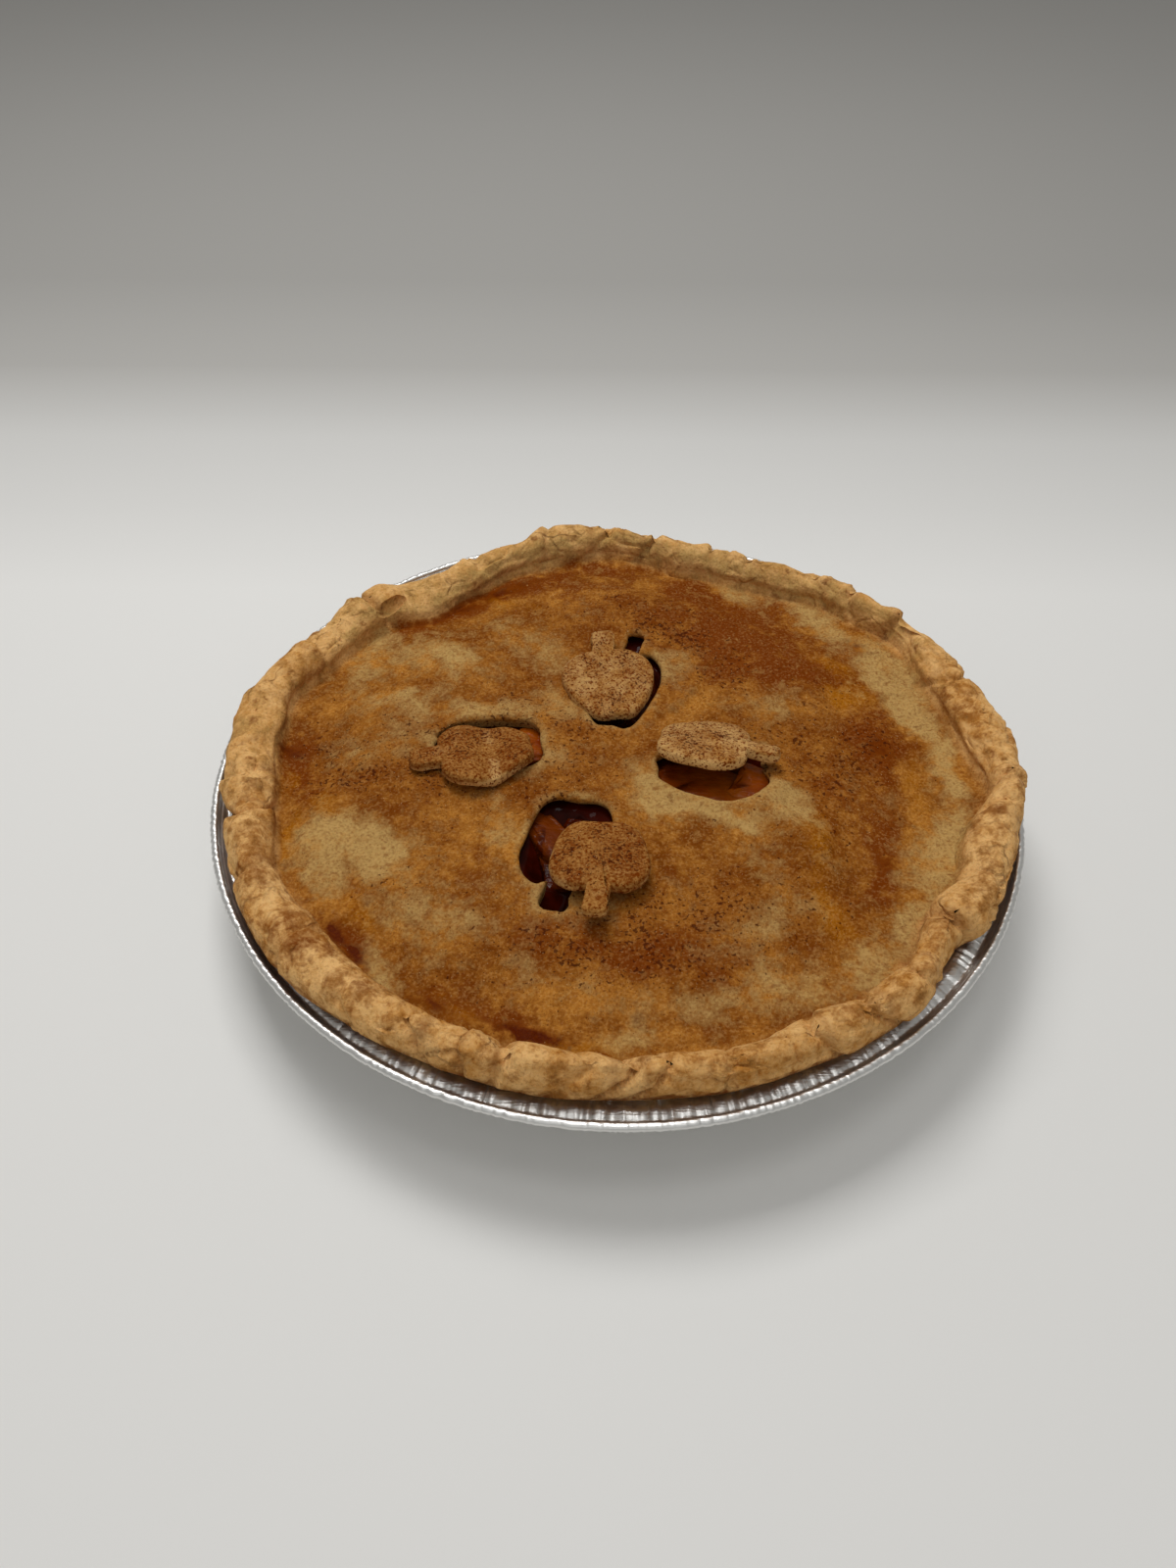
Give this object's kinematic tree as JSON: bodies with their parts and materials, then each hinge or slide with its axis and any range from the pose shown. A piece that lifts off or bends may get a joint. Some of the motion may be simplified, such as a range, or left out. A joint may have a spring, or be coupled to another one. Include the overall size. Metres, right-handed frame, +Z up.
{
  "type": "apple pie in a foil tin",
  "caption": "Whole baked apple pie with a rolled pastry rim and fruit-shaped vents in its lid, in a round foil tin.",
  "frame": {"origin": "centre of the tin's base, on the surface that it rests on", "axes": "+Z up out of the pie, -Y towards the front of the view, +X to the right"},
  "size_m": [0.2448, 0.2444, 0.049],
  "materials": {
    "foil": "bright",
    "pastry": "matte",
    "filling": "gloss",
    "sugared_pastry": "matte"
  },
  "bodies": {
    "root": {"foil_tin": "foil", "pastry_crust": "pastry", "filling": "filling", "cutout_left": "sugared_pastry", "cutout_back": "sugared_pastry", "cutout_right": "sugared_pastry", "cutout_front": "sugared_pastry"}
  },
  "joints": []
}
